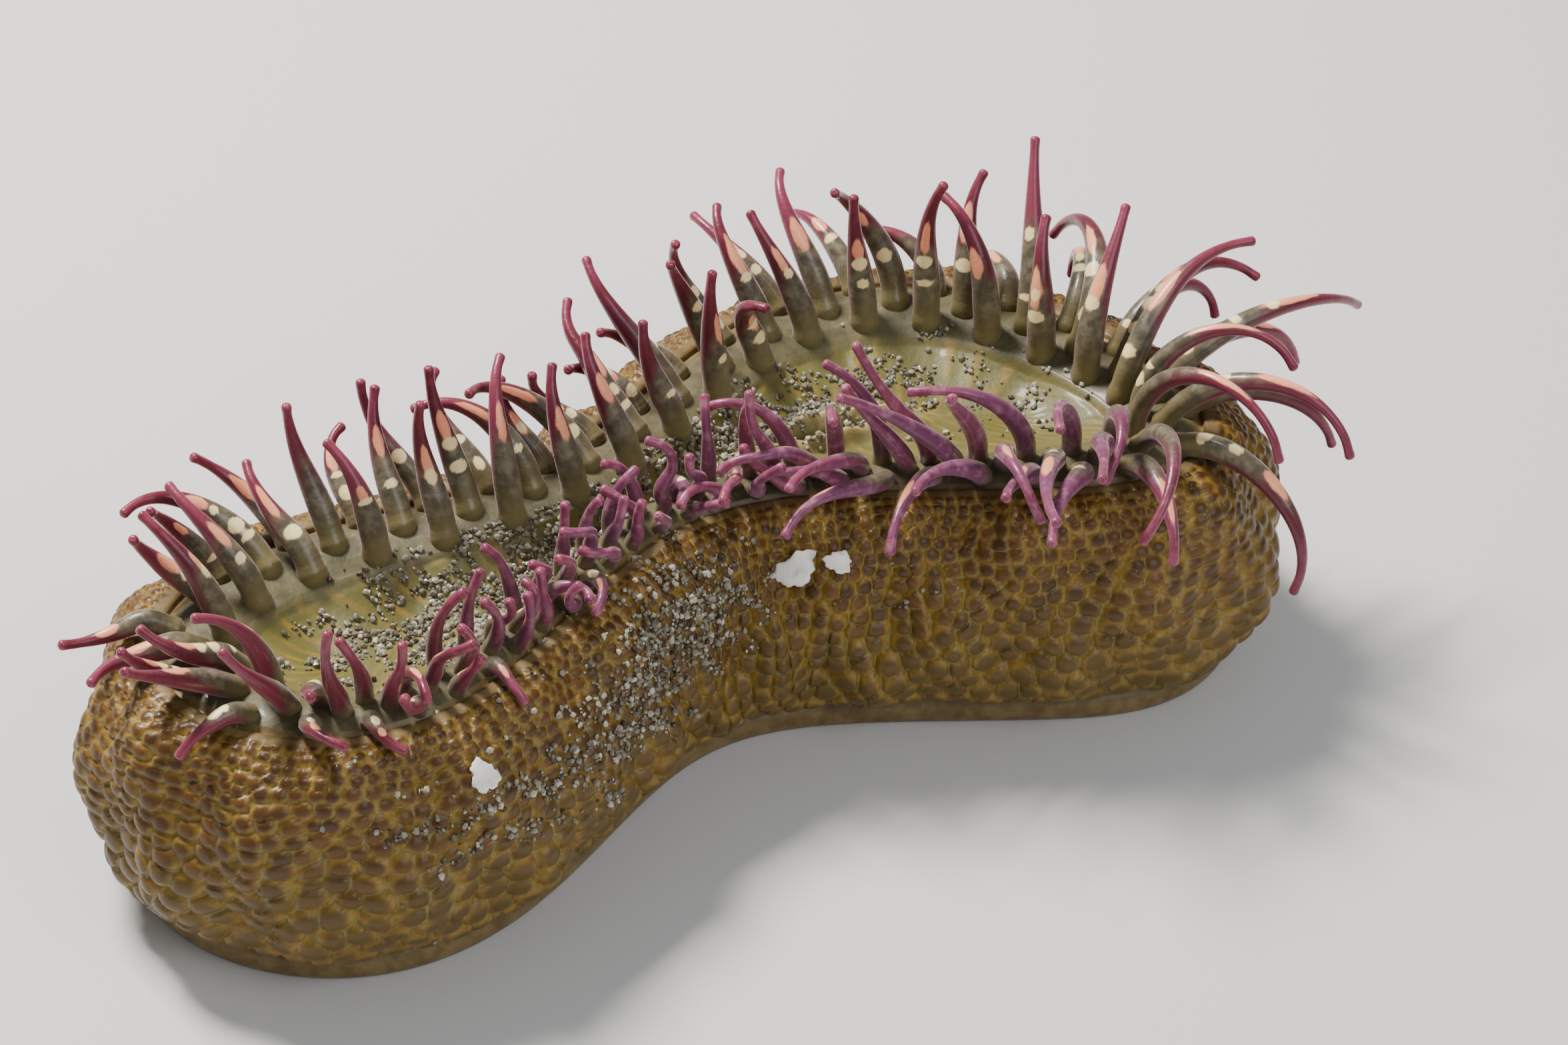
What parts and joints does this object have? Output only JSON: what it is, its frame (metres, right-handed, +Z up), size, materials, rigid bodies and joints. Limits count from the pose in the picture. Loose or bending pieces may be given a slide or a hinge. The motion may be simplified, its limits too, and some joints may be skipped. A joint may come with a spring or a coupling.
{
  "type": "aggregating anemone",
  "caption": "Open sea anemone with a two-lobed crown of tapering feelers on a low, warty column with a flat foot.",
  "frame": {"origin": "middle of the flat foot, on the floor", "axes": "+Z up through the column, +X towards the end of the larger lobe, +Y towards the crown's back edge"},
  "size_m": [0.1163, 0.081, 0.0403],
  "materials": {
    "column_flesh": "wet skin, golden brown warts",
    "disc_flesh": "wet skin, olive with fine radial lines",
    "lip_flesh": "wet skin, pale",
    "feeler_flesh": "wet skin, grey olive with cream spots and magenta tips"
  },
  "bodies": {
    "root": {"pedal_disc": "column_flesh", "column": "column_flesh", "collar": "column_flesh", "oral_disc": "disc_flesh", "mouth_lips": "lip_flesh", "tentacles_01": "feeler_flesh", "tentacles_02": "feeler_flesh", "tentacles_03": "feeler_flesh", "tentacles_04": "feeler_flesh", "tentacles_05": "feeler_flesh", "tentacles_06": "feeler_flesh", "tentacles_07": "feeler_flesh", "tentacles_08": "feeler_flesh", "tentacles_09": "feeler_flesh", "tentacles_10": "feeler_flesh", "tentacles_11": "feeler_flesh", "tentacles_12": "feeler_flesh", "tentacles_13": "feeler_flesh", "tentacles_14": "feeler_flesh", "tentacles_15": "feeler_flesh"}
  },
  "joints": []
}
